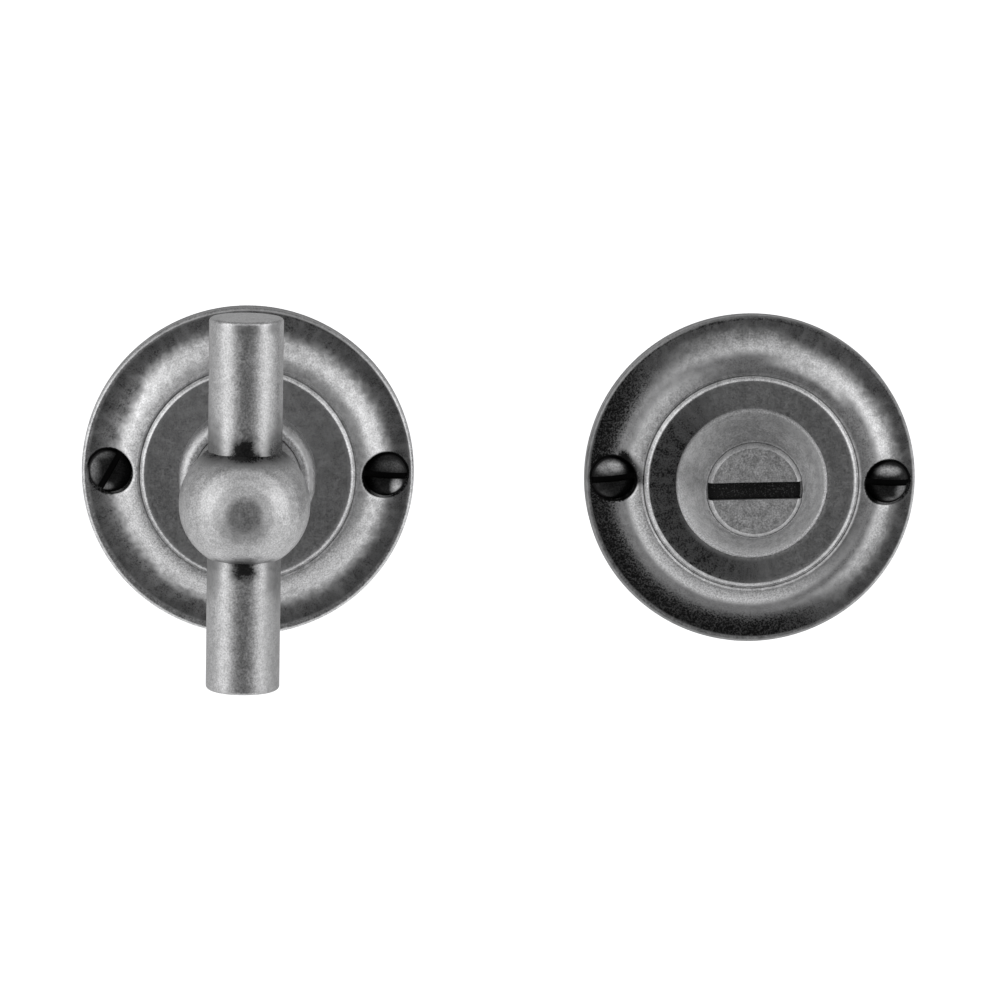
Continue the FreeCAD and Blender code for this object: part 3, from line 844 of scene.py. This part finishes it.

# %% [markdown]
# Now each piece gets its own dirt and wear, with painted shade and painted highlights among them,
# as masks from 0 to 1 that are added up. On a rose, the patina stayed thickest in the dish, from
# about 20 mm out to the flat land of the rim. Its inner edge wanders, and it shows streaks along
# the radius, where hands wiped it. `darker` is 0 on the turn's rose and 1 on the release's, whose
# lower left side is darker all over.

# %% Patina in the dish
def dish_patina(spot, streaks, darker):
    """The dark ring in the dish of a rose, and the release's shaded lower left side."""
    radius = spot.radius
    wander = (spot.cloud - 0.5) * 1.6 + (spot.mottle - 0.5) * 1.2
    inner_edge = 19.9 + 0.7 * spot.side(35) + 1.1 * darker + wander
    inner_edge = (inner_edge + 0.8 * spot.side(112).rise(0.75, 1.0)
                  - (1 - darker) * 0.8 * spot.side(160).rise(0.88, 1.0)
                  - darker * 0.9 * spot.side(54).rise(0.86, 0.98))
    outer_edge = 23.9 + 0.4 * spot.side(60) + 0.35 * darker
    trough = (radius - inner_edge).rise(-0.3, 2.1) * (0.56 + streaks * 0.25)
    shaded = spot.side(215).rise(-0.65, 0.5) * darker
    flank = ((radius + wander * 0.6).rise(17.0, 22.5) * 0.97
             + radius.band(19.2, 1.2) * 0.2) * shaded
    return trough.most(flank) * (radius - outer_edge).fall(0.0, 0.5)


print("dish patina from about 20 to 24 mm")

# %% [markdown]
# The crown between the dish and the groove is bright, but for painted shade on its right side,
# which on the release's rose leaves a gap at two o'clock. The rim is a little darker at its
# top, and on the release also lower left.

# %% Crown and rim
def crown_shade(spot, darker):
    """Painted shade on the right of the crown."""
    radius = spot.radius
    # painted shade: a grey band on the crown's right side, with a gap at two o'clock on the
    # release
    shade_gap = spot.side(62).rise(0.9, 0.99) * radius.rise(17.4, 18.4) * 0.8 * darker
    return (radius.rise(16.3, 16.8) * radius.fall(17.6 + darker, 18.8 + 1.6 * darker)
            * spot.side(30).rise(-0.45, 0.45) * (0.35 + 0.3 * darker) * (1 - shade_gap))


def rim_darkening(spot, darker):
    """Darker on the top of the rim, and lower left on the release."""
    top = spot.radius.rise(24.2, 24.6) * spot.side(95).rise(0.3, 1.0) * (0.35 - 0.15 * darker)
    low = spot.radius.rise(24.3, 24.6) * spot.side(230).rise(-0.5, 0.5) * 0.5 * darker
    return top + low


print("crown from 16.3 to about 19 mm, rim from 24.2 mm")

# %% [markdown]
# The plateau keeps a thin, mottled film. The groove beside the bead holds dirt and painted
# shade, least at its bottom. The screw seats are darkened by painted shade, on their upper left
# walls more than on the lower right, and one of them has a painted shadow beside it.

# %% Plateau, groove and seats
def plateau_patina_and_shade(spot, streaks, darker):
    """The film on the plateau, and the dark line of the groove, which is dirt and painted shade.
    """
    lower_left = spot.side(200).rise(-0.3, 0.9) * darker
    film = spot.radius.fall(15.35, 15.5) * (0.18 + spot.mottle * 0.3
                                            + streaks * (0.1 + 0.1 * darker)
                                            + lower_left * (0.25 + 0.3 * spot.mottle))
    # dirt and painted shade in the groove, most at upper left and least at the bottom
    groove = spot.radius.band(16.22, 0.22) * (0.42 + 0.25 * spot.side(140).rise(0.0, 0.9)
                                              - 0.22 * spot.side(265).rise(0.3, 0.9))
    return film + groove


def seat_painted_shade(spot, darker):
    """Painted shade in the screw seats, and a painted shadow inside the release's left seat."""
    from_screw = ((abs(spot.across) - SCREW_OFFSET) ** 2 + spot.up ** 2) ** 0.5
    lit_side = ((abs(spot.across) - SCREW_OFFSET) * 0.55 - spot.up * 0.83) / from_screw.most(0.01)
    # painted shade round each seat's wall, lifted on the lower outer side, where light falls
    seats = from_screw.fall(SEAT_RADIUS - 0.05, SEAT_RADIUS + 0.22)
    seats = seats * (1 - 0.75 * lit_side.rise(0.1, 0.8))
    # painted shadow beside the release's left seat, on its inner side
    seat_shadow = (from_screw.fall(SEAT_RADIUS + 0.2, SEAT_RADIUS + 1.6) * spot.up.rise(-1.5, 0.0)
             * spot.side(180).rise(0.9, 0.95) * spot.radius.fall(19.5, 20.7) * 0.9 * darker)
    return seats, seat_shadow


print("plateau out to 15.4 mm, groove at 16.2 mm, seats", SEAT_RADIUS, "mm round each screw")

# %% [markdown]
# The masks are put together here. All of them hold on the front only, and the back and the
# hollow, which nobody tumbled or touched, get one even grey. Wear brightens the rim, a painted
# highlight brightens the lower part of the crown, and the plateau beside the release's boss is
# made brighter at lower right.

# %% Finish of the roses
def rose_finish(spot, darker=0.0):
    """Dirt, painted shade, wear and painted highlights of the turn's rose."""
    radius, height = spot.radius, spot.height
    hollow = radius.fall(14.9, 15.2) * height.fall(3.6, 4.2)
    front = height.rise(1.5, 2.4) * (1 - hollow)
    streaks = spot.spokes(14.0).rise(0.2, 0.8)
    seats, seat_shadow = seat_painted_shade(spot, darker)
    stains_and_shade = (plateau_patina_and_shade(spot, streaks, darker) + dish_patina(spot, streaks, darker)
               + crown_shade(spot, darker) + rim_darkening(spot, darker) + seats + seat_shadow)
    back = 0.45 * height.fall(1.2, 2.2) + 0.3 * hollow
    rim = radius.rise(24.4, 24.95) * (0.35 * spot.cloud + 0.1 - 0.2 * darker)
    # painted highlight on the lower part of the crown
    lit = (radius.rise(16.5, 17.2) * radius.fall(18.0, 19.2)
           * spot.side(255).rise(-0.2, 0.8) * (1 - 0.7 * darker * spot.side(330).rise(0.4, 0.95)))
    # brighter at lower right beside the release's boss
    beside = radius.fall(11.5, 12.3) * spot.side(295).rise(-0.4, 0.6) * 0.35 * darker
    return stains_and_shade * front + back, (rim + lit + beside) * (1 - seats) * (1 - seat_shadow) * front


def release_rose_finish(spot):
    """Dirt, painted shade, wear and painted highlights of the release's rose."""
    return rose_finish(spot, 1.0)


dress(turn_rose, aged_metal("turn_rose_finish", 0.0, rose_finish, seed=3.0))
dress(release_rose, aged_metal("release_rose_finish", SPACING, release_rose_finish, seed=9.0))

# %% [markdown]
# The collar sits under the ball, so its shoulder gets painted shade, most at upper right, and
# the top of its upper edge a painted highlight. Its foot is made brighter.

# %% Finish of the collar
def collar_finish(spot):
    """Painted shade on the shoulder, a brighter foot, and a painted highlight on the upper edge.
    """
    # painted shade on the shoulder under the ball
    shoulder = (spot.radius.band(9.55, 0.6) * spot.height.rise(8.7, 9.2)
                * (0.14 + 0.3 * spot.side(25).rise(-0.2, 0.8)))
    # painted highlight on the top of the upper edge
    crest = spot.radius.fall(9.0, 9.4) * spot.height.rise(9.8, 10.1)
    crest = crest * spot.side(90).rise(-0.3, 0.4) * 0.35
    return shoulder + 0.08 * spot.mottle, spot.height.fall(5.4, 6.2) * 0.3 + crest


dress(collar, aged_metal("collar_finish", 0.0, collar_finish, tone=1.05, shine=0.38, seed=5.0))

# %% [markdown]
# The lip at its foot carries a painted highlight, the brightest line of the whole release, most
# of all at lower right, and painted highlights also brighten the lower left of the cone's foot
# and the land round the button. The left side of the boss is the darkest, in line with the dark
# side of its rose.

# %% Finish of the boss
def boss_finish(spot):
    """Darker on the left of the foot and on the cone; painted highlights on the lip, the foot and
    the land.
    """
    # painted highlights on the lip, the lower left of the cone's foot and the land round the
    # button
    lip = spot.height.fall(5.8, 6.6) * (0.25 + 0.75 * spot.side(290).rise(-0.3, 0.7))
    foot = spot.height.fall(6.3, 8.5) * (0.1 + 0.35 * spot.side(240).rise(-0.2, 1.0))
    left = spot.height.fall(6.0, 6.5) * spot.side(180).rise(0.2, 0.9) * 0.7
    cone = spot.radius.rise(8.6, 10.2) * (0.1 + 0.14 * spot.side(15).rise(0.2, 0.9))
    edge = spot.height.band(6.15, 0.3) * 0.25 + spot.radius.fall(7.3, 7.5) * 0.5
    return 0.05 + spot.mottle * 0.2 + cone + left, lip + foot + edge


dress(boss, aged_metal("boss_finish", SPACING, boss_finish, tone=1.0, shine=0.38, seed=7.0))

# %% [markdown]
# Fingers keep the ball bright. Painted shade darkens the corner where the bar enters it, the
# neck and flange that the ball shades, and the top of the ball, and a square patch of painted
# reflection darkens its front.

# %% Finish of the ball knob
def knob_finish(spot):
    """Painted shade round the bar, on the top, the neck and the flange; a painted reflection on
    the front.
    """
    off_bar = (spot.across ** 2 + (spot.height - BALL_HEIGHT) ** 2) ** 0.5 - BAR_RADIUS
    # painted shade in the corner where the bar enters the ball, and along the seam in front
    corner_shade = off_bar.fall(0.1, 1.3) * (0.12 + 0.34 * spot.mottle)
    beside = abs(spot.across + (spot.mottle - 0.5) * 2.0).fall(0.6, 3.0)
    seam_shade = beside * off_bar.fall(0.2, 1.3) * spot.height.rise(30, 33)
    # painted shade on the flange under the ball
    flange = spot.height.rise(10.0, 10.3) * (spot.height.fall(10.9, 11.2) * 0.5
                                             + spot.height.fall(12.4, 14.0) * 0.3)
    # painted reflection: a square dark patch on the front of the ball
    front = (spot.across ** 4 + (spot.up + 0.9) ** 4) ** 0.25
    front = front.fall(1.2, 4.8) * spot.height.rise(34, 36) * 0.34
    # painted shade on the top of the ball
    above = spot.up.rise(5.6, 7.4) * (0.2 + spot.mottle * 0.6)
    # painted shade on the neck under the ball
    neck = spot.height.fall(18, 22) * (0.15 + 0.25 * spot.side(100).rise(-0.2, 0.9))
    return (corner_shade + seam_shade * 0.4 + front + above + neck + flange,
            spot.cloud.fall(0.35, 0.5) * 0.05)


dress(knob, aged_metal("knob_finish", 0.0, knob_finish, tone=0.94, shine=0.38, blotches=0.12,
                       seed=2.0))

# %% [markdown]
# The bar is not round about the door's axis, so its finish is measured along it, with `up`, and
# outwards from the ball. Painted shade darkens its two flanks near the ball and the seam in
# front, the upper end carries a smudge of dirt, and a painted highlight brightens the end and
# its edge.

# %% Finish of the bar
BALL_REACH = 9.6


def bar_finish(spot):
    """Painted shade near the ball and on the flanks, dirt at the upper end; a painted highlight on
    the end and its edge.
    """
    off_ball = (spot.up ** 2 + (spot.height - BALL_HEIGHT) ** 2) ** 0.5 - BALL_REACH
    wobble = (spot.mottle - 0.5) * 2.4
    # painted shade on the flanks, strongest near the ball
    flanks = abs(spot.across).rise(2.7, 3.9)
    flanks = flanks * ((off_ball + wobble * 0.5).fall(0.5, 6.5) * 0.36 + 0.08)
    # painted shade round the edge of the ball
    near_ball_shade = ((off_ball + wobble * 0.4).fall(-0.4, 0.5) * 0.1
            + off_ball.fall(0.0, 3.0) * spot.up.rise(0.0, 4.0)
            * (0.12 + 0.16 * spot.across.rise(1.2, 2.2))
            + spot.across.rise(2.0, 3.6) * spot.up.fall(-12.0, -7.0) * 0.16)
    # painted shade at the seam in front
    seam_shade = (abs(spot.across + wobble).fall(0.5, 2.6) * (off_ball + wobble).fall(0.8, 3.0)
            * spot.height.rise(30, 33))
    middle = abs(spot.across - 0.1).fall(1.4, 2.4)
    aside = spot.across.band(3.9, 1.3)
    end = spot.up.rise(24.9, 26.3) * spot.up.fall(26.8, 27.2)
    smudge = end * (middle * 0.4 + aside * (0.1 + 0.6 * spot.mottle))
    # first mask: painted shade and the smudge of dirt; second: faint wear and a painted highlight
    # on the end and its edge
    return (near_ball_shade + flanks + seam_shade * 1.3 + smudge,
            0.04 * spot.cloud + spot.up.rise(27.2, 27.35) * spot.mottle * 0.5
            + abs(spot.across - 0.3).band(3.0, 1.1) * spot.up.rise(26.9, 27.1)
            * spot.height.rise(31.5, 33.0) * 0.5)


dress(bar, aged_metal("bar_finish", 0.0, bar_finish, tone=0.97, shine=0.36, blotches=0.12,
                      seed=8.0))

# %% [markdown]
# Coins polish the face of the button and never reach the bottom of its slot, which stays black.
# The rounded edge is made a little darker too.

# %% Finish of the coin button
def button_finish(spot):
    """Dirt in the slot, and a darker rounded edge."""
    slot = (spot.height.rise(9.95, 10.2) * spot.height.fall(11.2, 12.0)
            * spot.radius.fall(6.8, 7.1))
    # the rounded edge made a little darker
    bevel = spot.radius.rise(6.2, 6.7) * 0.15
    return slot + bevel + 0.15 * spot.mottle, 0.05 * spot.cloud


dress(button, aged_metal("button_finish", SPACING, button_finish, tone=1.15, shine=0.42,
                         seed=4.0))

# %% [markdown]
# The screws were blackened in the fire and oiled, so they are nearly black, with painted
# highlights in grey on their heads. Each highlight is a soft oval on the head: how far it lies
# across and up from the middle, its half width and half height, and how bright it is.

# %% Finish of the screws
BLACKENED = 0.012
GLINT_GREY = 0.6
# painted highlight ovals on each screw head
GLINTS = {"turn_screw_left": [(-3.1, 0.0, 2.2, 3.4, 0.19), (-1.2, 2.6, 2.0, 1.1, 0.12),
                              (-0.4, -2.5, 1.4, 1.2, 0.26)],
          "turn_screw_right": [(1.6, -1.7, 1.2, 2.0, 0.8), (0.6, 1.3, 2.6, 1.3, 0.12)],
          "release_screw_left": [(-0.4, 1.6, 2.9, 1.6, 0.42), (0.3, 1.8, 1.8, 1.0, 0.4),
                                 (-1.5, -2.8, 2.0, 1.2, 0.05)],
          "release_screw_right": [(0.0, 1.7, 2.5, 1.1, 0.75), (2.2, -1.5, 1.3, 2.2, 0.28),
                                  (0.8, -2.9, 2.0, 0.9, 0.2)]}


def blackened(name, across, ovals):
    """Blackened steel, with painted highlights in a few places on its head."""
    material, shade = new_material(name)
    spot = Spot(shade, across, seed=across)
    # painted highlights: grey ovals on the black heads
    glint = 0.03 * spot.grain
    for aside, above, half_width, half_height, glint_strength in ovals:
        off = (((spot.across - aside) / half_width) ** 2
               + ((spot.up - above) / half_height) ** 2) ** 0.5
        glint = glint + off.fall(0.2, 1.0) * glint_strength
    glint = glint * spot.radius.fall(3.05, 3.3) * spot.height.rise(2.65, 2.85)
    glint = (glint * (0.3 + 0.6 * spot.mottle + 0.8 * spot.grain)).least(FULL)
    colour = shade.mix(grey(BLACKENED), grey(GLINT_GREY), glint)
    shade.surface({"Base Color": colour, "Metallic": 1.0,
                   "Roughness": 0.36 + 0.14 * spot.mottle}, spot.mottle, BUMP, BUMP_REACH)
    return material


for name, across, slot_turn in SCREWS:
    dress(screws[name], blackened(name + "_finish", across, GLINTS[name]))

# %% [markdown]
# Behind the roses sit plain steel parts: the spindle and its pin, washers and retaining rings.
# Nobody sees them on a door, but they show from behind, so the CAD model's own pieces are kept
# and get drawn steel, which is the aged metal with little dirt.

# %% Steel parts
def steel_finish(spot):
    """A few dull clouds and bright scuffs."""
    return spot.cloud.rise(0.5, 0.7) * 0.25, spot.mottle.rise(0.6, 0.8) * 0.2


bright_steel = aged_metal("bright_steel_finish", 0.0, steel_finish, tone=1.1, shine=0.28)
for name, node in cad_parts.items():
    if name.endswith(("washer", "ring")) or name.startswith("spindle"):
        dress(node, bright_steel)

# %% [markdown]
# The stems turn in flanged bushes of natural nylon. It is a plain cream plastic without metal in
# it, slightly cloudy, with the faint grain of the mould.

# %% Nylon bushes
def nylon():
    """Natural nylon, as moulded."""
    material, shade = new_material("bush_nylon")
    spot = Spot(shade, 0.0, 1.0)
    colour = shade.mix((0.62, 0.6, 0.55, 1), (0.75, 0.73, 0.68, 1), spot.cloud)
    shade.surface({"Base Color": colour, "Roughness": 0.4 + 0.1 * spot.mottle},
                  spot.grain, 0.2, 0.00004)
    return material


bush_nylon = nylon()
for name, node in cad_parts.items():
    if name.endswith("_bush"):
        dress(node, bush_nylon)
